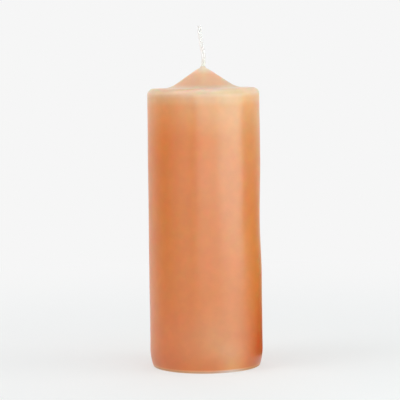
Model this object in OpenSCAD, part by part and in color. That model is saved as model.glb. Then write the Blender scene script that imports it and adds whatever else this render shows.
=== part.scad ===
// Pillar candle with a pointed top: one cast wax body, a plaited cotton wick that runs
// the whole height, and the pressed tinplate clip that holds the wick in the base.
// Millimetres, +Z up, origin at the centre of the base.

/* [Wax body] */
// Diameter of the pillar at its shoulder
body_d = 75; // [66:0.5:90]
// Height of the wax from the base to the rounded tip
wax_h = 200; // [120:1:250]
// Draft of the wall on each side, in degrees, which lets the wax leave its mould
wall_draft = 0.16; // [0:0.02:0.6]
// Radius that rounds the shoulder's edge
shoulder_r = 4.5; // [2:0.5:6]
// Height over which the wall curves in towards the base
foot_h = 12; // [6:1:20]
// Radius of that curve
foot_curve_r = 35; // [28:1:80]
// Radius of the base's edge
base_edge_r = 0.5; // [0.3:0.1:1.5]

/* [Pointed top] */
// Diameter at which the cone's slope reaches the flat of the shoulder
cone_d = 45; // [38:0.5:50]
// Slope of the cone, in degrees
cone_slope = 33.5; // [25:0.5:40]
// Radius of the hollow curve between the shoulder's flat and the cone
cone_fillet_r = 8.5; // [4:0.5:12]
// Radius of the rounded tip
tip_r = 7; // [5:0.5:9]
// Radius of the wax that creeps up the wick
creep_r = 1.2; // [0.6:0.1:2]
// Thickness of that wax at its upper edge
creep_lip = 0.15; // [0.1:0.05:0.4]

/* [Wick] */
// Width of the wick
wick_d = 3; // [2:0.1:4]
// Length of wick that stands above the tip
wick_free = 28; // [10:0.5:40]
// How far its free end leans to the left
wick_lean = 2.2; // [0:0.1:5]
// How far it sways to the right before it leans over
wick_sway = 0.9; // [0:0.05:1]
// Thickness of one strand of the plait
strand_d = 1.24; // [0.8:0.02:1.4]
// Depth of the plait from the middle of its front strand to the middle of its back one
plait_depth = 0.84; // [0.4:0.02:1.2]
// Length in which a strand crosses the plait and comes back
plait_pitch = 6.6; // [4:0.2:12]
// Length above the wax in which the round wick turns into the plait
plait_blend = 2; // [1:0.5:4]
// Space between the wick and whatever it passes through
wick_play = 0.05; // [0.02:0.01:0.2]

/* [Wick clip] */
// Diameter of the clip's disc
clip_d = 20; // [16:0.5:30]
// Thickness of the tinplate
clip_sheet = 0.3; // [0.2:0.05:0.5]
// How far the disc is set back from the base
clip_setback = 0.6; // [0.3:0.1:1.5]
// Width of the disc's flat rim, outside the pressed ring that stiffens it
clip_rim = 2.5; // [1:0.1:3]
// Width of that ring across its top
clip_ring_w = 1; // [0.5:0.1:1.5]
// Height of the ring above the disc
clip_ring_h = 0.5; // [0.3:0.1:1]
// Height of the neck above the disc
neck_h = 13; // [8:0.5:18]
// Radius of the bend from the disc into the neck
neck_bend_r = 1; // [0.6:0.1:1.5]
// Space between the neck and the wick, outside the crimp
neck_play = 0.35; // [0.2:0.05:0.6]
// Length of the crimp that grips the wick
crimp_h = 3; // [1.5:0.5:5]
// Length of neck left round above the crimp
crimp_drop = 1.5; // [0.5:0.5:3]
// Space between the clip and the wax round it
clip_play = 0.1; // [0.05:0.05:0.3]

/* [Hidden] */

wax_colour = "#DE9465";
wick_colour = "#F1F0E7";
clip_colour = "#C3C5C8";

// Steps in which an arc of a section is drawn
arc_steps = 14;
round_fn = 96;
// How far a cut runs past the surface
over = 1;

// The cone and the rounded tip set where the shoulder lies under the tip
cone_r = cone_d / 2;
cone_h = cone_r * tan(cone_slope) - tip_r * (1 / cos(cone_slope) - 1);
shoulder_h = wax_h - cone_h;
tip_centre_h = wax_h - tip_r;

// The channel takes the wick and the neck's room takes the clip
channel_r = wick_d / 2 + wick_play;
clip_path_h = clip_setback + clip_sheet / 2;
neck_top_h = clip_setback + clip_sheet + neck_h;
neck_path_r = wick_d / 2 + neck_play + clip_sheet / 2;
crimp_path_r = channel_r + clip_sheet / 2;
neck_room_r = neck_path_r + clip_sheet / 2 + clip_play;
recess_r = clip_d / 2 + clip_play;
recess_h = clip_path_h + max(clip_ring_h + clip_sheet / 2, neck_bend_r) + clip_play;

// The wax that creeps up the wick ends above the tip
creep_edge_r = channel_r + creep_lip;
creep_centre = [
    creep_edge_r + creep_r,
    tip_centre_h + sqrt(pow(tip_r + creep_r, 2) - pow(creep_edge_r + creep_r, 2))
];

// The wick is round and full of wax up to its root, where it leaves the wax
root_h = creep_centre.y;
free_h = wax_h + wick_free - root_h;
strand_r = strand_d / 2;

// How sharply a strand's bulge falls off to its sides
bulge_power = 3;
// Part of the free length over which the wick's slope is taken
slope_step = 0.01;
plait_sides = 32;
rings_per_pitch = 14;

// Radius of the wall at height h
function wall_r(h) = body_d / 2 + (shoulder_h - h) * tan(wall_draft);

// Points along an arc, from angle a to angle b
function arc(centre, r, a, b) =
    [for (i = [0:arc_steps]) let (t = a + (b - a) * i / arc_steps) centre + r * [cos(t), sin(t)]];

// Angle of the direction from one point to another
function bearing(from, to) = atan2(to.y - from.y, to.x - from.x);

// The foot's curve leaves the wall without a corner, and the base's edge leaves the curve so too
foot_centre = [wall_r(foot_h), foot_h] - foot_curve_r * [cos(wall_draft), sin(wall_draft)];
base_edge_centre = [
    foot_centre.x + sqrt(pow(foot_curve_r - base_edge_r, 2) - pow(base_edge_r - foot_centre.y, 2)),
    base_edge_r
];
foot_end_angle = bearing(foot_centre, base_edge_centre);

// The shoulder's edge touches the drafted wall and the flat
shoulder_centre = [
    body_d / 2 + shoulder_r * (tan(wall_draft) - 1 / cos(wall_draft)),
    shoulder_h - shoulder_r
];
cone_fillet_centre = [cone_r + cone_fillet_r * tan(cone_slope / 2), shoulder_h + cone_fillet_r];

// Half section of the wax, from the middle of the base out, up the wall and over the tip
function wax_outline() = concat(
    [[0, 0]],
    arc(base_edge_centre, base_edge_r, -90, foot_end_angle),
    arc(foot_centre, foot_curve_r, foot_end_angle, wall_draft),
    arc(shoulder_centre, shoulder_r, wall_draft, 90),
    arc(cone_fillet_centre, cone_fillet_r, -90, -90 - cone_slope),
    arc([0, tip_centre_h], tip_r, 90 - cone_slope, bearing([0, tip_centre_h], creep_centre)),
    arc(creep_centre, creep_r, bearing(creep_centre, [0, tip_centre_h]), -180),
    [[0, creep_centre.y]]
);

// What a round hole of radius r takes away, from below the base up to height h
module hole_from_base(r, h) {
    translate([0, 0, -over]) cylinder(r = r, h = h + over, $fn = round_fn);
}

// The cast wax with the channel for the wick and the room for its clip
module wax_body() {
    color(wax_colour)
    difference() {
        rotate_extrude($fn = round_fn) polygon(wax_outline());
        hole_from_base(channel_r, root_h + over);
        hole_from_base(neck_room_r, neck_top_h + clip_play);
        hole_from_base(recess_r, recess_h);
    }
}

// Middle of a strand in the plait's section, where turn says how far it is through the pitch
function strand_middle(turn) = [(wick_d / 2 - strand_r) * cos(turn), plait_depth / 2 * sin(2 * turn)];

// How far a strand reaches from the wick's middle in one direction, where it makes a round bulge
function strand_reach(middle, direction) =
    let (off = norm(middle), facing = off > 0 ? middle * direction / off : 0)
    strand_r + off * pow(max(0, facing), bulge_power);

// Reach of the plait, which is that of its outermost strand there
function plait_reach(direction, turn) =
    max([for (k = [0:2]) strand_reach(strand_middle(turn + 120 * k), direction)]);

// Where the wick's middle lies to the right of the axis, u of the way from its root to its end
function wick_x(u) = wick_sway * (1 - u) * sin(360 * u) - wick_lean * u * u;

// One ring of the wick's skin, u of the way from its root to its end
function wick_ring(u) =
    let (
        tilt = atan((wick_x(u) - wick_x(max(0, u - slope_step))) / (slope_step * free_h)),
        plaited = min(1, u * free_h / plait_blend),
        turn = 360 * u * free_h / plait_pitch
    )
    [for (i = [0:plait_sides - 1])
        let (
            angle = 360 * i / plait_sides,
            direction = [cos(angle), sin(angle)],
            reach = plaited * plait_reach(direction, turn) + (1 - plaited) * wick_d / 2,
            p = reach * direction
        )
        [wick_x(u) + p.x * cos(tilt), p.y, root_h + u * free_h - p.x * sin(tilt)]];

// The wick: round and full of wax inside the pillar, and above it one skin over three strands
module wick() {
    rings = ceil(free_h / plait_pitch * rings_per_pitch);
    foot_ring = [for (p = wick_ring(0)) [p.x, p.y, clip_setback]];
    points = concat(foot_ring, [for (j = [0:rings]) each wick_ring(j / rings)]);
    foot = [for (i = [0:plait_sides - 1]) i];
    end = [for (i = [1:plait_sides]) len(points) - i];
    skin = [for (j = [0:rings], i = [0:plait_sides - 1])
        let (a = j * plait_sides + i, b = j * plait_sides + (i + 1) % plait_sides)
        each [[a, a + plait_sides, b + plait_sides], [a, b + plait_sides, b]]];
    color(wick_colour) polyhedron(points, concat([foot, end], skin));
}

// Middle of the clip's sheet, from the disc's rim over the stiffening ring and up the neck
function clip_path() =
    let (
        rim_r = clip_d / 2 - clip_rim,
        ring_top = clip_path_h + clip_ring_h,
        bend_centre = [neck_path_r + neck_bend_r, clip_path_h + neck_bend_r],
        crimp_slope = neck_path_r - crimp_path_r,
        crimp_top = neck_top_h - crimp_drop - crimp_slope
    )
    concat(
        [
            [clip_d / 2, clip_path_h],
            [rim_r, clip_path_h],
            [rim_r - clip_ring_h, ring_top],
            [rim_r - clip_ring_h - clip_ring_w, ring_top],
            [rim_r - 2 * clip_ring_h - clip_ring_w, clip_path_h]
        ],
        arc(bend_centre, neck_bend_r, -90, -180),
        [
            [neck_path_r, crimp_top - crimp_h - crimp_slope],
            [crimp_path_r, crimp_top - crimp_h],
            [crimp_path_r, crimp_top],
            [neck_path_r, crimp_top + crimp_slope],
            [neck_path_r, neck_top_h]
        ]
    );

// Outline of a sheet of the given thickness that follows a path
function sheet_outline(path, thickness) =
    let (
        last = len(path) - 1,
        way = [for (i = [0:last - 1]) (path[i + 1] - path[i]) / norm(path[i + 1] - path[i])],
        shift = [for (i = [0:last])
            let (a = way[max(i - 1, 0)], b = way[min(i, last - 1)], m = a + b)
            thickness / 2 * [-m.y, m.x] * 2 / (m * m)]
    )
    concat([for (i = [0:last]) path[i] + shift[i]], [for (i = [last:-1:0]) path[i] - shift[i]]);

// The pressed clip: a disc with a stiffening ring, and a neck crimped on the wick
module wick_clip() {
    color(clip_colour)
    rotate_extrude($fn = round_fn) polygon(sheet_outline(clip_path(), clip_sheet));
}

wax_body();
wick();
wick_clip();
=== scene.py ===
# Looks of the pillar candle: poured wax, a plaited cotton wick and the tinplate clip in the base.
import math

import bpy
from mathutils import Matrix, Vector


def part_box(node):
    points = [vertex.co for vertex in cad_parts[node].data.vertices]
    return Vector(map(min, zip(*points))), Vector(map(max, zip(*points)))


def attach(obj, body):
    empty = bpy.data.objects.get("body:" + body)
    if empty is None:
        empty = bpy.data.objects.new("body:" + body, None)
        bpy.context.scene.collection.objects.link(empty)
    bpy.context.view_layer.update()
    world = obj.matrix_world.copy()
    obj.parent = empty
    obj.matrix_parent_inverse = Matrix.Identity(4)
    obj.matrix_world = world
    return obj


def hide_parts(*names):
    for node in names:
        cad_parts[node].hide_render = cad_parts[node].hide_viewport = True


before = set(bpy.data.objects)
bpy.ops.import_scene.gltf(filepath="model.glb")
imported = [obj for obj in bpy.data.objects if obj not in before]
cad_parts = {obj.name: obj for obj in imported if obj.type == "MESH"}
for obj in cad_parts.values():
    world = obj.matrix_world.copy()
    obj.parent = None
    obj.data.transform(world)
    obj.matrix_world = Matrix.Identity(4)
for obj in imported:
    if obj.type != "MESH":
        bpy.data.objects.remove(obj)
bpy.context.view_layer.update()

MM = 0.001

# Sizes of the wax as it is cast. Its cone runs out more softly than the solid's.
BODY_R = 37.5 * MM
WAX_H = 200 * MM
WALL_DRAFT = math.radians(0.16)
SHOULDER_R = 4.5 * MM
FOOT_H = 12 * MM
FOOT_CURVE_R = 35 * MM
BASE_EDGE_R = 0.5 * MM
CONE_R = 22.5 * MM
CONE_SLOPE = math.radians(33.5)
CONE_FILLET_R = 18 * MM
TIP_R = 7 * MM
CREEP_R = 1.2 * MM
CREEP_LIP = 0.15 * MM

# Sizes of the wick, and of the room that the wax leaves for it and for its clip
WICK_R = 1.5 * MM
WICK_PLAY = 0.05 * MM
WICK_FREE = 28 * MM
WICK_LEAN = 2.2 * MM
WICK_SWAY = 0.9 * MM
STRAND_R = 0.62 * MM
PLAIT_DEPTH = 0.84 * MM
PLAIT_PITCH = 6.6 * MM
CLIP_PLAY = 0.1 * MM
CLIP_LOW, CLIP_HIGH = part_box("wick_clip")
NECK_ROOM_R = 2.25 * MM
RECESS_R = CLIP_HIGH.x + CLIP_PLAY
RECESS_H = 1.85 * MM

# Places that follow from these sizes: radius and height in the half section
CHANNEL_R = WICK_R + WICK_PLAY
CREEP_EDGE_R = CHANNEL_R + CREEP_LIP
SHOULDER_H = WAX_H - CONE_R * math.tan(CONE_SLOPE) + TIP_R * (1 / math.cos(CONE_SLOPE) - 1)
TIP_CENTRE = (0, WAX_H - TIP_R)
CREEP_CENTRE = (
    CREEP_EDGE_R + CREEP_R,
    TIP_CENTRE[1] + math.sqrt((TIP_R + CREEP_R) ** 2 - (CREEP_EDGE_R + CREEP_R) ** 2),
)
ROOT_H = CREEP_CENTRE[1]
FREE_H = WAX_H + WICK_FREE - ROOT_H

# Relief of the poured wax: depths, patches of noise in a metre, and how far they are drawn out upwards
HOLLOW_DEPTH = 0.3 * MM
HOLLOW_SCALE = 22.0
HOLLOW_STRETCH = (1, 1, 0.6)
HOLLOW_LEVELS = (0.42, 0.75)
RIPPLE_DEPTH = 0.06 * MM
RIPPLE_SCALE = 90.0
RIPPLE_STRETCH = (1, 1, 0.35)
RELIEF_SEED = 4.0

# The wax was gripped here, on its right, when it left its mould
GRIP_AT = (37.5 * MM, -4 * MM, 100 * MM)
GRIP_R = 40 * MM
GRIP_DEPTH = 0.8 * MM

# The relief comes in between these shares of the wall's radius and of the even foot's height
RELIEF_FROM_R = (0.1, 0.5)
RELIEF_FROM_H = (0.1, 1.0)
EVEN_FOOT_H = 8 * MM

# Colours at heights in millimetres, from the pared base to the tip: the wax's own colours, with painted
# shade and painted light at the foot's edge, the shoulder and the tip
WAX_AND_PAINTED_LIGHT_COLOURS = [
    (0.1, (0.80, 0.43, 0.21)),
    # Painted contact shadow: a dark line just above the base's edge
    (0.35, (0.36, 0.14, 0.065)),
    (0.7, (0.42, 0.16, 0.07)),
    # Painted highlight: a pale line along the bottom edge, where it catches the floor's light
    (0.95, (0.92, 0.63, 0.36)),
    (1.35, (0.92, 0.63, 0.36)),
    (1.7, (0.69, 0.185, 0.035)),
    (20, (0.70, 0.20, 0.04)),
    (60, (0.71, 0.22, 0.03)),
    (105, (0.705, 0.212, 0.02)),
    (150, (0.72, 0.235, 0.034)),
    # Painted light: from here the wax pales up to the shoulder's edge, where light from above falls
    (174, (0.765, 0.325, 0.105)),
    (179.5, (0.765, 0.42, 0.19)),
    (184, (0.775, 0.565, 0.36)),
    (185.6, (0.755, 0.56, 0.37)),
    (186.3, (0.80, 0.57, 0.38)),
    (189, (0.80, 0.43, 0.235)),
    (195, (0.83, 0.46, 0.255)),
    # Painted glow: the tip is paler, where light runs through its thin wax
    (199.6, (0.87, 0.67, 0.54)),
]

# Painted light and painted shade on the wax, where its foot and sides are lit or shaded: place and
# radius in millimetres, and the share of each colour left
PAINTED_LIGHT_PATCHES = [
    ((9, -36, 21), 34, (1.0, 1.33, 2.25)),
    ((36, -3, 15), 42, (0.95, 0.63, 0.31)),
    ((35, -15, 5), 17, (0.86, 0.82, 0.42)),
    ((18, -32, 9), 18, (1.03, 1.26, 1.75)),
    ((-24, -29, 3), 22, (0.96, 0.92, 0.86)),
    ((17, -33, 1.5), 14, (1.02, 1.22, 1.4)),
    ((-33, -16, 2), 12, (0.9, 0.9, 0.78)),
    ((32, -19, 3), 15, (0.94, 0.9, 0.74)),
    ((-16, -34, 149), 37, (1.0, 0.88, 0.38)),
    ((-20, -31, 168), 20, (1.0, 0.97, 0.84)),
    ((3, -37, 172), 22, (1.0, 1.09, 1.25)),
    ((30, -22, 184), 18, (1.1, 1.03, 1.08)),
]

# Clouds and mottling in the wax
PINKER_WAX = (1.0, 0.955, 0.97, 1)
YELLOWER_WAX = (1.0, 1.045, 1.0, 1)
MOTTLE_LEVELS = (0.3, 0.75)
MOTTLE_GREYS = (0.965, 1.03)

# Skin of the wax: fine relief, and how dull it is over the wall and on its pared base
PEEL_DEPTH = 0.10 * MM
GRAIN_DEPTH = 0.012 * MM
PINHOLE_DEPTH = 0.08 * MM
PINHOLE_RADII = (0.012, 0.035)
CELLS_WITHOUT_PINHOLE = 0.6
SKIN_DULL = (0.29, 0.35)
PARED_DULL = 0.22
PARED_HEIGHTS = (0.2 * MM, 0.9 * MM)

# How far light runs through the wax and how much of it does, each as two heights and the levels there
GLOW_DEPTHS = [
    (0, 18, 2 * MM, 60 * MM),
    (150, 187, 60 * MM, 5 * MM),
    (187, 199, 5 * MM, 1.5 * MM),
]
GLOW_SHARES = [
    (0.5, 6, 0.0, 1.0),
    (198, 199.5, 1.0, 0.0),
]

# Cotton near its root and above it, and tinplate along and across its rolling
TINTED_COTTON = (0.92, 0.90, 0.82, 1)
CLEAN_COTTON = (0.97, 0.94, 0.93, 1)
TINTED_HEIGHTS = (-1 * MM, 7 * MM)
BRIGHT_TIN = (0.75, 0.76, 0.77, 1)
ROLLED_TIN = (0.68, 0.69, 0.70, 1)
SPOTTED_TIN = (0.60, 0.60, 0.59, 1)
SPOT_LEVELS = (0.5, 0.8)

# Noise levels between which a pattern goes from one look to the other
SOFT_LEVELS = (0.3, 0.7)

# The camera stands where the photograph's did, and leans a little
CAMERA_AT = (0, -1178.3 * MM, 205.6 * MM)
CAMERA_PITCH = 0.0798
CAMERA_YAW = -0.0026
CAMERA_ROLL = 0.0134
CAMERA_LENS = 158.7
CAMERA_SENSOR = 36

# The floor lies a hair below the candle, so that their faces don't meet, and lets light to its base
FLOOR_Z = -0.05 * MM
FLOOR_HOLE_R = 35.6 * MM
FLOOR_R = 8.0
FLOOR_STEPS = 96
FLOOR_COLOUR = (0.82, 0.85, 0.86, 1)

# Distances over which the floor runs out into the backdrop, and the share of it that glows near by
FADE_DISTANCES = (0.10, 0.60)
FADE_NEAR = 0.50
FLOOR_GLOW = (0.955, 0.97, 0.97, 1)
BACKDROP = (0.922, 0.922, 0.922, 1)
FILL = 0.10

# Soft boxes: name, degrees to the camera's right, degrees up, distance, width, height and watts
LAMPS = [
    ("key", 54, 3, 0.62, 0.64, 0.27, 1.78),
    ("front", 5, 3, 0.62, 0.44, 0.27, 0.7),
    ("front_left", -52, 20, 1.3, 1.2, 1.2, 4.6),
    ("high_left", -70, 55, 1.3, 0.6, 0.6, 3.7),
    ("high_right", 85, 40, 1.3, 0.6, 0.6, 2.5),
    ("left_rim", -115, 10, 1.3, 0.45, 1.1, 4.0),
    ("right_rim", 130, 10, 1.3, 0.45, 1.1, 2.0),
    ("back", 180, 18, 1.4, 1.6, 1.2, 9),
    ("overhead", 55, 77, 1.3, 1.0, 1.0, 5.5),
    ("under", 0, -75, 0.9, 1.0, 1.0, 6),
]
WHITE_LAMP = (1.0, 1.0, 1.0)
LAMP_COLOURS = {
    "key": (0.75, 1.0, 0.98),
    "front_left": (1.0, 0.97, 0.97),
    "left_rim": (1.0, 0.85, 0.78),
    "high_right": (1.0, 0.85, 0.8),
}
LAMPS_OUT_OF_GLOSS = ("back", "high_right", "left_rim", "right_rim", "under")

# Dark cards that only the gloss shows: name, degrees to the camera's right, distance of their foot and
# of their top, width, height, and the share of the light that they keep off at their foot and their top
CARDS = [
    ("right_card", 106, 0.055, 0.13, 0.117, 0.21, 1.0, 0.0),
    ("left_card", -77, 0.25, 0.25, 0.46, 0.25, 0.45, 0.5),
]
CARD_COLOUR = (0.1, 0.1, 0.1, 1)

# Share of a card's reach and height over which it stays whole
CARD_WHOLE = 0.1


def arc(centre, radius, start, end, steps):
    """Points along an arc, from angle start to angle end."""
    turns = [start + (end - start) * i / steps for i in range(steps + 1)]
    return [(centre[0] + radius * math.cos(t), centre[1] + radius * math.sin(t)) for t in turns]


def bearing(here, there):
    """Angle of the direction from one point to another."""
    return math.atan2(there[1] - here[1], there[0] - here[0])


def line(start, end, spacing):
    """Points from start to end, both left out, at about the given spacing."""
    steps = max(1, round(math.dist(start, end) / spacing))
    shares = [i / steps for i in range(1, steps)]
    return [(start[0] + (end[0] - start[0]) * s, start[1] + (end[1] - start[1]) * s) for s in shares]


def wax_outline():
    """Closed half section of the wax: the channel, the base, the wall, the shoulder and the cone."""
    up = math.pi / 2
    wall = BODY_R + (SHOULDER_H - FOOT_H) * math.tan(WALL_DRAFT)
    foot_x = wall - FOOT_CURVE_R * math.cos(WALL_DRAFT)
    foot = (foot_x, FOOT_H - FOOT_CURVE_R * math.sin(WALL_DRAFT))
    reach = math.sqrt((FOOT_CURVE_R - BASE_EDGE_R) ** 2 - (BASE_EDGE_R - foot[1]) ** 2)
    edge = (foot[0] + reach, BASE_EDGE_R)
    foot_end = bearing(foot, edge)
    shoulder_x = BODY_R + SHOULDER_R * (math.tan(WALL_DRAFT) - 1 / math.cos(WALL_DRAFT))
    shoulder = (shoulder_x, SHOULDER_H - SHOULDER_R)
    fillet = (CONE_R + CONE_FILLET_R * math.tan(CONE_SLOPE / 2), SHOULDER_H + CONE_FILLET_R)
    neck_top = CLIP_HIGH.z + CLIP_PLAY

    inside = [
        (CHANNEL_R, ROOT_H),
        (CHANNEL_R, neck_top),
        (NECK_ROOM_R, neck_top),
        (NECK_ROOM_R, RECESS_H),
        (RECESS_R, RECESS_H),
        (RECESS_R, 0),
    ]
    base_edge = arc(edge, BASE_EDGE_R, -up, foot_end, steps=8)
    foot_curve = arc(foot, FOOT_CURVE_R, foot_end, WALL_DRAFT, steps=20)
    shoulder_edge = arc(shoulder, SHOULDER_R, WALL_DRAFT, up, steps=24)
    cone_fillet = arc(fillet, CONE_FILLET_R, -up, -up - CONE_SLOPE, steps=16)
    tip = arc(TIP_CENTRE, TIP_R, up - CONE_SLOPE, bearing(TIP_CENTRE, CREEP_CENTRE), steps=12)
    creep = arc(CREEP_CENTRE, CREEP_R, bearing(CREEP_CENTRE, TIP_CENTRE), -math.pi, steps=10)
    return (
        inside
        + line(inside[-1], base_edge[0], spacing=2 * MM)
        + base_edge
        + foot_curve[1:]
        + line(foot_curve[-1], shoulder_edge[0], spacing=1.2 * MM)
        + shoulder_edge
        + line(shoulder_edge[-1], cone_fillet[0], spacing=1 * MM)
        + cone_fillet
        + line(cone_fillet[-1], tip[0], spacing=1 * MM)
        + tip
        + creep[1:]
    )


class Nodes:
    """Short calls that make, set and link the nodes of one tree."""

    def __init__(self, tree):
        self.tree = tree

    def node(self, kind, settings=None, **inputs):
        """A node with its settings, whose inputs are given by name as sockets or as plain values."""
        made = self.tree.nodes.new(kind)
        for key, value in (settings or {}).items():
            setattr(made, key, value)
        for key, value in inputs.items():
            self.feed(made, key.replace("_", " "), value)
        return made

    def feed(self, node, name, value):
        """Links or sets one input of a node, by its name or its place."""
        socket = node.inputs[name]
        if isinstance(value, bpy.types.NodeSocket):
            self.tree.links.new(value, socket)
        else:
            socket.default_value = value

    def math(self, operation, *values):
        """A sum on one number or two, or on more of them from left to right."""
        if len(values) > 2:
            values = (self.math(operation, *values[:-1]), values[-1])
        made = self.node("ShaderNodeMath", {"operation": operation})
        for place, value in enumerate(values):
            self.feed(made, place, value)
        return made.outputs[0]

    def vector_node(self, operation, *values):
        """A sum on vectors. SCALE takes its number last."""
        made = self.node("ShaderNodeVectorMath", {"operation": operation})
        for place, value in enumerate(values):
            self.feed(made, "Scale" if operation == "SCALE" and place == 1 else place, value)
        return made

    def vector(self, operation, *values):
        """The vector that a sum on vectors gives."""
        return self.vector_node(operation, *values).outputs["Vector"]

    def measure(self, operation, *values):
        """The number that a sum on vectors gives, such as a length or a distance."""
        return self.vector_node(operation, *values).outputs["Value"]

    def off_axis(self, position):
        """How far a place lies from the candle's axis."""
        return self.measure("LENGTH", self.vector("MULTIPLY", position, (1, 1, 0)))

    def height_of(self, position):
        """How high a place lies."""
        return self.node("ShaderNodeSeparateXYZ", Vector=position).outputs["Z"]

    def combine(self, x=0.0, y=0.0, z=0.0):
        """A vector from its three parts."""
        return self.node("ShaderNodeCombineXYZ", X=x, Y=y, Z=z).outputs[0]

    def ease(self, value, low, high, at_low=0.0, at_high=1.0):
        """A number that runs smoothly from one level to another while value runs from low to high."""
        made = self.node(
            "ShaderNodeMapRange",
            {"interpolation_type": "SMOOTHSTEP"},
            Value=value,
            From_Min=low,
            From_Max=high,
            To_Min=at_low,
            To_Max=at_high,
        )
        return made.outputs[0]

    def noise(self, position, scale, detail=1.0, seed=0.0, stretch=(1, 1, 1)):
        """Soft noise from 0 to 1 at a place, with the number of patches in a metre as its scale."""
        made = self.node(
            "ShaderNodeTexNoise",
            {"noise_dimensions": "4D"},
            Vector=self.vector("MULTIPLY", position, stretch),
            W=seed,
            Scale=scale,
            Detail=detail,
        )
        return made.outputs[0]

    def blend(self, share, first, second):
        """Two shaders in one, where share is the part that the second one has."""
        made = self.node("ShaderNodeMixShader", Fac=share)
        self.feed(made, 1, first)
        self.feed(made, 2, second)
        return made.outputs[0]


class Shape(Nodes):
    """A tree that makes a mesh, with named inputs for its sizes."""

    def __init__(self, name):
        super().__init__(bpy.data.node_groups.new(name, "GeometryNodeTree"))
        self.tree.interface.new_socket("Geometry", in_out="INPUT", socket_type="NodeSocketGeometry")
        self.tree.interface.new_socket("Geometry", in_out="OUTPUT", socket_type="NodeSocketGeometry")
        self.inputs = self.tree.nodes.new("NodeGroupInput")
        self.output = self.tree.nodes.new("NodeGroupOutput")
        self.keys = {}

    def size(self, name, kind="Float"):
        """A named input of the tree."""
        socket = self.tree.interface.new_socket(name, in_out="INPUT", socket_type="NodeSocket" + kind)
        self.keys[name] = socket.identifier
        return self.inputs.outputs[name]

    def position(self):
        """Place of each point where the tree asks for it."""
        return self.node("GeometryNodeInputPosition").outputs[0]

    def straight(self, start, end):
        """A straight curve."""
        return self.node("GeometryNodeCurvePrimitiveLine", Start=start, End=end).outputs[0]

    def copies(self, curves, amount):
        """Several copies of some curves, and the share of them that comes before each."""
        made = self.node(
            "GeometryNodeDuplicateElements", {"domain": "SPLINE"}, Geometry=curves, Amount=amount
        )
        return made.outputs[0], self.math("DIVIDE", made.outputs["Duplicate Index"], amount)

    def moved(self, geometry, **places):
        """Geometry with its points put in their places, or shifted by an offset."""
        return self.node("GeometryNodeSetPosition", Geometry=geometry, **places).outputs[0]

    def tube(self, curve, radius, sides):
        """A round skin along a curve, closed at its ends."""
        section = self.node("GeometryNodeCurvePrimitiveCircle", Resolution=sides, Radius=radius)
        skin = self.node(
            "GeometryNodeCurveToMesh", Curve=curve, Profile_Curve=section.outputs[0], Fill_Caps=True
        )
        return skin.outputs[0]

    def smooth(self, geometry):
        """A mesh with smooth shading."""
        return self.node("GeometryNodeSetShadeSmooth", Geometry=geometry).outputs[0]

    def finish(self, geometry, material):
        """Ends the tree in real faces of one material."""
        whole = self.node("GeometryNodeRealizeInstances", Geometry=geometry)
        dressed = self.node("GeometryNodeSetMaterial", Geometry=whole.outputs[0], Material=material)
        self.tree.links.new(dressed.outputs[0], self.output.inputs[0])


class Finish(Nodes):
    """A material, with its shader and the place on the piece that its patterns read."""

    def __init__(self, name):
        self.material = bpy.data.materials.new(name)
        self.material.use_nodes = True
        super().__init__(self.material.node_tree)
        self.shader = self.tree.nodes["Principled BSDF"]
        self.place = self.node("ShaderNodeTexCoord").outputs["Object"]
        self.height = self.height_of(self.place)

    def set(self, **values):
        """Sets or links the shader's own sockets."""
        for key, value in values.items():
            self.feed(self.shader, key.replace("_", " "), value)

    def show(self, shader):
        """Takes another shader for the surface than the plain one."""
        self.feed(self.tree.nodes["Material Output"], "Surface", shader)

    def ramp(self, value, stops):
        """A colour that changes along value, from a list of places and colours."""
        made = self.node("ShaderNodeValToRGB", Fac=value)
        made.color_ramp.interpolation = "EASE"
        elements = made.color_ramp.elements
        while len(elements) < len(stops):
            elements.new(position=0.5)
        for element, (at, colour) in zip(elements, stops):
            element.position = at
            element.color = (*colour, 1)
        return made.outputs[0]

    def mix(self, share, first, second, blend="MIX"):
        """Two colours in one, where share is the part that the second one has."""
        made = self.node("ShaderNodeMix", {"data_type": "RGBA", "blend_type": blend})
        for place, value in ((0, share), (6, first), (7, second)):
            self.feed(made, place, value)
        return made.outputs[2]

    def tint(self, first, second):
        """One colour times another."""
        return self.mix(1.0, first, second, "MULTIPLY")

    def shade(self, colour, grey):
        """A colour times a grey level."""
        return self.tint(colour, self.combine(grey, grey, grey))

    def lowest(self, bands):
        """Lowest of several levels, each of which changes between two heights in millimetres."""
        levels = [
            self.ease(self.height, low * MM, high * MM, at_low, at_high)
            for low, high, at_low, at_high in bands
        ]
        return self.math("MINIMUM", *levels)

    def bump(self, height, depth, before=None):
        """Fine relief of a given depth in metres, on top of any relief before it."""
        made = self.node("ShaderNodeBump", Height=height, Distance=depth)
        if before is not None:
            self.feed(made, "Normal", before)
        return made.outputs[0]


def add(name, data):
    """A new object in the scene."""
    made = bpy.data.objects.new(name, data)
    bpy.context.scene.collection.objects.link(made)
    return made


def grow(name, start_mesh, tree, values):
    """Runs a tree on a mesh and gives back the plain mesh that it makes, as a new piece."""
    source = add(name + "_start", start_mesh)
    modifier = source.modifiers.new(name, "NODES")
    modifier.node_group = tree.tree
    for key, value in values.items():
        modifier[tree.keys[key]] = value
    depsgraph = bpy.context.evaluated_depsgraph_get()
    mesh = bpy.data.meshes.new_from_object(source.evaluated_get(depsgraph))
    mesh.name = name
    piece = add(name, mesh)
    bpy.data.objects.remove(source)
    return piece


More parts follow.
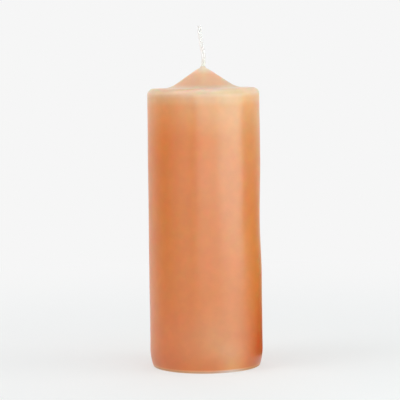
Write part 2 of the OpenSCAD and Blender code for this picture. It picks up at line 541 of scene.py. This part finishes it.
def turned_wax_tree():
    """Turns a half section round the axis and lets the outside sink in a little, as poured wax does."""
    tree = Shape("turned_wax")
    steps = tree.size("Steps", "Int")
    path_r = tree.size("Path radius")
    wall_r = tree.size("Wall radius")
    hollow = tree.size("Hollow depth")
    hollow_scale = tree.size("Hollow scale")
    ripple = tree.size("Ripple depth")
    ripple_scale = tree.size("Ripple scale")
    grip = tree.size("Grip depth")
    grip_at = tree.size("Grip place", "Vector")
    grip_r = tree.size("Grip radius")
    foot_h = tree.size("Even foot height")
    seed = tree.size("Seed")
    material = tree.size("Material", "Material")

    # A profile runs round a circle of the path's radius with its own x outwards and its own y down
    section = tree.node("GeometryNodeMeshToCurve", Mesh=tree.inputs.outputs["Geometry"])
    placed = tree.node(
        "GeometryNodeTransform",
        Geometry=section.outputs[0],
        Translation=tree.combine(x=tree.math("MULTIPLY", path_r, -1.0)),
        Scale=(1, -1, 1),
    )
    path = tree.node("GeometryNodeCurvePrimitiveCircle", Resolution=steps, Radius=path_r)
    turned = tree.node(
        "GeometryNodeCurveToMesh", Curve=path.outputs[0], Profile_Curve=placed.outputs[0]
    )

    # Broad hollows, fine ripples and the place where the candle was gripped, all of them inwards
    position = tree.position()
    hollow_noise = tree.noise(position, hollow_scale, seed=seed, stretch=HOLLOW_STRETCH)
    hollows = tree.math("MULTIPLY", hollow, tree.ease(hollow_noise, *HOLLOW_LEVELS))
    ripple_noise = tree.noise(position, ripple_scale, seed=seed, stretch=RIPPLE_STRETCH)
    ripples = tree.math("MULTIPLY", ripple, ripple_noise)
    grip_away = tree.math("DIVIDE", tree.measure("DISTANCE", position, grip_at), grip_r)
    gripped = tree.math("MULTIPLY", grip, tree.ease(grip_away, 0.0, 1.0, at_low=1.0, at_high=0.0))
    depth = tree.math("ADD", hollows, ripples, gripped)

    # The channel, the recess and the flat of the base keep their form
    outside = tree.ease(tree.math("DIVIDE", tree.off_axis(position), wall_r), *RELIEF_FROM_R)
    above = tree.ease(tree.math("DIVIDE", tree.height_of(position), foot_h), *RELIEF_FROM_H)
    inwards = tree.math("MULTIPLY", outside, above, -1.0)
    normal = tree.node("GeometryNodeInputNormal").outputs[0]
    shift = tree.vector("SCALE", normal, tree.math("MULTIPLY", depth, inwards))
    tree.finish(tree.moved(tree.smooth(turned.outputs[0]), Offset=shift), material)
    return tree


def make_wax(material):
    """The poured wax, which stands for the node wax_body."""
    points = [(x, y, 0) for x, y in reversed(wax_outline())]
    edges = [(i, (i + 1) % len(points)) for i in range(len(points))]
    section = bpy.data.meshes.new("wax_section")
    section.from_pydata(points, edges, [])
    wax = grow(
        "wax",
        section,
        turned_wax_tree(),
        {
            "Steps": 224,
            "Path radius": 1 * MM,
            "Wall radius": BODY_R,
            "Hollow depth": HOLLOW_DEPTH,
            "Hollow scale": HOLLOW_SCALE,
            "Ripple depth": RIPPLE_DEPTH,
            "Ripple scale": RIPPLE_SCALE,
            "Grip depth": GRIP_DEPTH,
            "Grip place": GRIP_AT,
            "Grip radius": GRIP_R,
            "Even foot height": EVEN_FOOT_H,
            "Seed": RELIEF_SEED,
            "Material": material,
        },
    )
    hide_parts("wax_body")
    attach(wax, "root")
    return wax


def plaited_wick_tree():
    """Lays yarns in strands and strands in a flat plait, along the leaning middle of the wick."""
    tree = Shape("plaited_wick")
    rings = tree.size("Rings", "Int")
    strands = tree.size("Strands", "Int")
    yarns = tree.size("Yarns", "Int")
    width = tree.size("Width")
    depth = tree.size("Depth")
    pitch = tree.size("Pitch")
    strand_r = tree.size("Strand radius")
    yarn_r = tree.size("Yarn radius")
    yarn_lay = tree.size("Yarn lay")
    free = tree.size("Free length")
    cut = tree.size("Cut short")
    sunk = tree.size("Sunk length")
    root = tree.size("Root height")
    lean = tree.size("Lean")
    sway = tree.size("Sway")
    splay = tree.size("Splay")
    splay_power = tree.size("Splay power")
    core_r = tree.size("Core radius")
    rod_r = tree.size("Rod radius")
    rod_foot = tree.size("Rod foot")
    rod_top = tree.size("Rod top")
    material = tree.size("Material", "Material")
    turn = 2 * math.pi

    # A straight run from just below the root to the cut end gives each point its length above the root
    low = tree.combine(z=tree.math("MULTIPLY", sunk, -1.0))
    high = tree.combine(z=tree.math("SUBTRACT", free, cut))
    run = tree.node("GeometryNodeResampleCurve", Curve=tree.straight(low, high), Count=rings)
    along = tree.height_of(tree.position())
    share_up = tree.math("MAXIMUM", tree.math("DIVIDE", along, free), 0.0)
    kept = tree.node(
        "GeometryNodeStoreNamedAttribute", Geometry=run.outputs[0], Name="length_up", Value=along
    ).outputs[0]

    # The wick's middle sways to the right and then leans to the left
    left = tree.math("MULTIPLY", lean, tree.math("POWER", share_up, 2.0))
    wave = tree.math("SINE", tree.math("MULTIPLY", share_up, turn))
    right = tree.math("MULTIPLY", sway, tree.math("SUBTRACT", 1.0, share_up), wave)
    middle_x = tree.math("SUBTRACT", right, left)
    middle_z = tree.math("ADD", root, along)

    # Each strand crosses the plait from side to side, over one strand and under the next
    three, strand_share = tree.copies(kept, strands)
    crossings = tree.math("ADD", strand_share, tree.math("DIVIDE", along, pitch))
    phase = tree.math("MULTIPLY", crossings, turn)
    half_width = tree.math("SUBTRACT", width, strand_r)
    across = tree.math("MULTIPLY", half_width, tree.math("COSINE", phase))
    half_depth = tree.math("DIVIDE", depth, 2.0)
    over = tree.math("MULTIPLY", half_depth, tree.math("SINE", tree.math("MULTIPLY", phase, 2.0)))
    strand_at = tree.combine(tree.math("ADD", middle_x, across), over, middle_z)
    laid = tree.moved(three, Position=strand_at)

    # Yarns wind round the middle of their strand, and come apart a little at the cut end
    plied, yarn_share = tree.copies(laid, yarns)
    length_up = tree.node("GeometryNodeInputNamedAttribute", Name="length_up").outputs[0]
    windings = tree.math("ADD", yarn_share, tree.math("DIVIDE", length_up, yarn_lay))
    wound = tree.math("MULTIPLY", windings, turn)
    tangent = tree.node("GeometryNodeInputTangent").outputs[0]
    front = tree.vector("NORMALIZE", tree.vector("CROSS_PRODUCT", tangent, (1.0, 0.0, 0.0)))
    side = tree.vector("CROSS_PRODUCT", front, tangent)
    factor = tree.node("GeometryNodeSplineParameter").outputs["Factor"]
    loose = tree.math("MULTIPLY", splay, tree.math("POWER", factor, splay_power))
    reach = tree.math("ADD", tree.math("SUBTRACT", strand_r, yarn_r), loose)
    offset = tree.vector(
        "ADD",
        tree.vector("SCALE", front, tree.math("MULTIPLY", reach, tree.math("COSINE", wound))),
        tree.vector("SCALE", side, tree.math("MULTIPLY", reach, tree.math("SINE", wound))),
    )
    plait = tree.smooth(tree.tube(tree.moved(plied, Offset=offset), yarn_r, sides=8))

    # A thin core keeps the plait from showing gaps where its strands cross
    core_line = tree.moved(kept, Position=tree.combine(x=middle_x, z=middle_z))
    core = tree.smooth(tree.tube(core_line, core_r, sides=12))

    # Inside the pillar the wick is round and full of wax
    rod_line = tree.straight(tree.combine(z=rod_foot), tree.combine(z=rod_top))
    rod = tree.tube(rod_line, rod_r, sides=32)
    whole = tree.node("GeometryNodeJoinGeometry")
    for part in (plait, core, rod):
        tree.tree.links.new(part, whole.inputs[0])
    tree.finish(whole.outputs[0], material)
    return tree


def make_wick(material):
    """The plaited wick, which stands for the node wick."""
    wick = grow(
        "wick_plait",
        bpy.data.meshes.new("wick_start"),
        plaited_wick_tree(),
        {
            "Rings": 280,
            "Strands": 3,
            "Yarns": 6,
            "Width": WICK_R,
            "Depth": PLAIT_DEPTH,
            "Pitch": PLAIT_PITCH,
            "Strand radius": STRAND_R,
            "Yarn radius": 0.24 * MM,
            "Yarn lay": 3.2 * MM,
            "Free length": FREE_H,
            "Cut short": 0.6 * MM,
            "Sunk length": 1.5 * MM,
            "Root height": ROOT_H,
            "Lean": WICK_LEAN,
            "Sway": WICK_SWAY,
            "Splay": 0.08 * MM,
            "Splay power": 24.0,
            "Core radius": 0.45 * MM,
            "Rod radius": WICK_R,
            "Rod foot": CLIP_LOW.z,
            "Rod top": ROOT_H,
            "Material": material,
        },
    )
    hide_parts("wick")
    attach(wick, "root")
    return wick


def wax_finish():
    """Apricot wax, with painted shade at its foot and painted light at the shoulder and the tip."""
    finish = Finish("apricot_wax")
    # The wax's colour by height, with painted shade and painted light at its foot, shoulder and tip
    share_up = finish.math("DIVIDE", finish.height, WAX_H)
    by_height = finish.ramp(share_up, [(height * MM / WAX_H, colour) for height, colour in WAX_AND_PAINTED_LIGHT_COLOURS])

    # Soft clouds, some pinker and some yellower, and finer pale mottling
    clouds = finish.noise(finish.place, scale=24.0, detail=2.0, seed=1.0)
    cloud_colour = finish.mix(finish.ease(clouds, *SOFT_LEVELS), PINKER_WAX, YELLOWER_WAX)
    mottle = finish.noise(finish.place, scale=140.0, detail=3.0, seed=2.0)
    grey = finish.ease(mottle, *MOTTLE_LEVELS, *MOTTLE_GREYS)
    colour = finish.shade(finish.tint(by_height, cloud_colour), grey)

    # Painted light and painted shade: patches that pale or deepen the colour
    for at, radius, share in PAINTED_LIGHT_PATCHES:
        away = finish.measure("DISTANCE", finish.place, [value * MM for value in at])
        near = finish.ease(away, 0.0, radius * MM, at_low=1.0, at_high=0.0)
        colour = finish.mix(near, colour, finish.tint(colour, (*share, 1)))

    # The skin has a faint orange peel, fine grain and a few pinholes
    peel = finish.noise(finish.place, scale=260.0, detail=2.0, seed=3.0)
    grain = finish.noise(finish.place, scale=1900.0, detail=2.0, seed=4.0)
    cells = finish.node("ShaderNodeTexVoronoi", Vector=finish.place, Scale=90.0)
    drawn = finish.node("ShaderNodeSeparateColor", Color=cells.outputs["Color"]).outputs[0]
    pinholes = finish.math(
        "MULTIPLY",
        finish.ease(cells.outputs["Distance"], *PINHOLE_RADII, at_low=1.0, at_high=0.0),
        finish.math("GREATER_THAN", drawn, CELLS_WITHOUT_PINHOLE),
    )
    skin = finish.bump(grain, GRAIN_DEPTH, before=finish.bump(peel, PEEL_DEPTH))
    pitted = finish.bump(finish.math("SUBTRACT", 1.0, pinholes), PINHOLE_DEPTH, before=skin)

    # The wall is a little uneven in its sheen, and the pared base is scraped dull
    smears = finish.noise(finish.place, scale=60.0, detail=3.0, seed=5.0)
    pared = finish.ease(finish.height, *PARED_HEIGHTS, at_low=1.0, at_high=0.0)
    rough = finish.math(
        "ADD",
        finish.ease(smears, *SOFT_LEVELS, *SKIN_DULL),
        finish.math("MULTIPLY", pared, PARED_DULL),
    )

    # Light runs far through the pillar, but not past its foot, its shoulder's edge and its thin tip
    finish.set(
        Base_Color=colour,
        Roughness=rough,
        IOR=1.5,
        Specular_IOR_Level=0.85,
        Subsurface_Weight=finish.lowest(GLOW_SHARES),
        Subsurface_Radius=(1.0, 0.2, 0.08),
        Subsurface_Scale=finish.lowest(GLOW_DEPTHS),
        Normal=pitted,
    )
    return finish.material


def cotton_finish():
    """Bleached cotton full of clear wax, with a faint tint of the candle's wax near its root."""
    finish = Finish("waxed_cotton")
    above_root = finish.math("SUBTRACT", finish.height, ROOT_H)
    tinted = finish.mix(finish.ease(above_root, *TINTED_HEIGHTS), TINTED_COTTON, CLEAN_COTTON)
    fibre = finish.noise(finish.place, scale=2600.0, detail=2.0, seed=1.0)
    finish.set(
        Base_Color=finish.shade(tinted, finish.ease(fibre, *SOFT_LEVELS, at_low=0.96, at_high=1.02)),
        Roughness=finish.ease(fibre, *SOFT_LEVELS, at_low=0.5, at_high=0.62),
        Normal=finish.bump(fibre, depth=0.03 * MM),
    )
    return finish.material


def tinplate_finish():
    """Bright tinplate with the fine lines of its rolling and a few dull spots."""
    finish = Finish("tinplate")
    lines = finish.noise(finish.place, scale=5200.0, detail=2.0, seed=1.0, stretch=(0.02, 1, 1))
    rolled = finish.mix(finish.ease(lines, *SOFT_LEVELS), BRIGHT_TIN, ROLLED_TIN)
    spots = finish.noise(finish.place, scale=380.0, detail=5.0, seed=2.0)
    finish.set(
        Base_Color=finish.mix(finish.ease(spots, *SPOT_LEVELS), rolled, SPOTTED_TIN),
        Metallic=1.0,
        Roughness=finish.ease(lines, *SOFT_LEVELS, at_low=0.22, at_high=0.34),
        Normal=finish.bump(lines, depth=0.0015 * MM),
    )
    return finish.material


def seen(nodes):
    """1 for rays that show the backdrop to the eye, straight or in a reflection, and 0 for light."""
    path = nodes.node("ShaderNodeLightPath")
    rays = ("Is Camera Ray", "Is Glossy Ray", "Is Transmission Ray")
    return nodes.math("MAXIMUM", *[path.outputs[ray] for ray in rays])


def floor_finish():
    """Pale floor that keeps the shadow, runs out into the backdrop and is clear from below."""
    finish = Finish("pale_floor")
    finish.set(Base_Color=FLOOR_COLOUR, Roughness=0.8, Specular_IOR_Level=0.2)
    away = finish.off_axis(finish.place)
    glow = finish.mix(finish.ease(away, *FADE_DISTANCES), FLOOR_GLOW, BACKDROP)
    white = finish.node("ShaderNodeEmission", Color=glow, Strength=1.0)
    clear = finish.node("ShaderNodeBsdfTransparent")
    far = finish.ease(away, *FADE_DISTANCES, at_low=FADE_NEAR, at_high=1.0)
    faded = finish.math("MULTIPLY", far, seen(finish))
    top = finish.blend(faded, finish.shader.outputs[0], white.outputs[0])
    below = finish.node("ShaderNodeNewGeometry").outputs["Backfacing"]
    finish.show(finish.blend(below, top, clear.outputs[0]))
    return finish.material


def make_floor():
    """The floor, with a hole under the candle."""
    mesh = bpy.data.meshes.new("floor")
    turns = [2 * math.pi * i / FLOOR_STEPS for i in range(FLOOR_STEPS)]
    ring = [(r * math.cos(t), r * math.sin(t), FLOOR_Z) for r in (FLOOR_HOLE_R, FLOOR_R) for t in turns]
    nexts = [(i, (i + 1) % FLOOR_STEPS) for i in range(FLOOR_STEPS)]
    faces = [(i, FLOOR_STEPS + i, FLOOR_STEPS + after, after) for i, after in nexts]
    mesh.from_pydata(ring, [], faces)
    mesh.materials.append(floor_finish())
    floor = add("floor", mesh)


def make_backdrop():
    """A white backdrop for the eye, which gives the candle no more than a faint fill of light."""
    world = bpy.data.worlds.new("studio")
    bpy.context.scene.world = world
    world.use_nodes = True
    sky = Nodes(world.node_tree)
    fill = sky.node("ShaderNodeBackground", Color=(1, 1, 1, 1), Strength=FILL)
    backdrop = sky.node("ShaderNodeBackground", Color=BACKDROP, Strength=1.0)
    both = sky.blend(seen(sky), fill.outputs[0], backdrop.outputs[0])
    sky.feed(world.node_tree.nodes["World Output"], "Surface", both)


def make_lamps():
    """Soft boxes round the candle, each turned to its middle."""
    middle = Vector((0, 0, WAX_H / 2))
    for name, right, up, distance, width, height, watts in LAMPS:
        data = bpy.data.lights.new(name, "AREA")
        data.shape = "RECTANGLE"
        data.size = width
        data.size_y = height
        data.energy = watts
        data.color = LAMP_COLOURS.get(name, WHITE_LAMP)
        lamp = add(name, data)
        a, e = math.radians(right), math.radians(up)
        away = Vector((math.sin(a) * math.cos(e), -math.cos(a) * math.cos(e), math.sin(e)))
        facing = (-away).to_track_quat("-Z", "Y").to_matrix().to_4x4()
        lamp.matrix_world = Matrix.Translation(middle + away * distance) @ facing
        lamp.visible_camera = False
        lamp.visible_glossy = name not in LAMPS_OUT_OF_GLOSS


def card_finish(name, right, reach, height, at_foot, at_top):
    """Dark grey that thins out towards the card's ends, so that its reflection has no edge."""
    finish = Finish(name)
    finish.set(Base_Color=CARD_COLOUR, Roughness=0.9)
    across = finish.measure("DOT_PRODUCT", finish.place, (math.cos(right), math.sin(right), 0))
    away = finish.math("ABSOLUTE", across)
    near = finish.ease(away, CARD_WHOLE * reach, reach, at_low=1.0, at_high=0.0)
    share = finish.ease(finish.height, CARD_WHOLE * height, height, at_foot, at_top)
    clear = finish.node("ShaderNodeBsdfTransparent").outputs[0]
    finish.show(finish.blend(finish.math("MULTIPLY", near, share), clear, finish.shader.outputs[0]))
    return finish.material


def make_cards():
    """Dark cards beside the candle, which keep its sides from a milky gloss and cast no shadow."""
    for name, right, low, high, width, height, at_foot, at_top in CARDS:
        mesh = bpy.data.meshes.new(name)
        reach, turn = width / 2, math.radians(right)
        corners = [(-reach, -low, 0), (reach, -low, 0), (reach, -high, height), (-reach, -high, height)]
        mesh.from_pydata(corners, [], [(0, 1, 2, 3)])
        mesh.transform(Matrix.Rotation(turn, 4, "Z"))
        mesh.materials.append(card_finish(name + "_grey", turn, reach, height, at_foot, at_top))
        card = add(name, mesh)
        card.visible_camera = False
        card.visible_diffuse = False
        card.visible_shadow = False
        card.visible_transmission = False


def make_camera():
    """A long lens at the photograph's height, which looks down a little and leans."""
    data = bpy.data.cameras.new("camera")
    data.lens = CAMERA_LENS
    data.sensor_width = CAMERA_SENSOR
    camera = add("camera", data)
    camera.matrix_world = (
        Matrix.Translation(CAMERA_AT)
        @ Matrix.Rotation(-CAMERA_YAW, 4, "Z")
        @ Matrix.Rotation(math.pi / 2 - CAMERA_PITCH, 4, "X")
        @ Matrix.Rotation(-CAMERA_ROLL, 4, "Z")
    )
    bpy.context.scene.camera = camera


make_camera()
make_floor()
make_backdrop()
make_lamps()
make_cards()
make_wax(wax_finish())
make_wick(cotton_finish())
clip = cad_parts["wick_clip"]
clip.data.materials.clear()
clip.data.materials.append(tinplate_finish())
bpy.context.scene.view_settings.view_transform = "Standard"
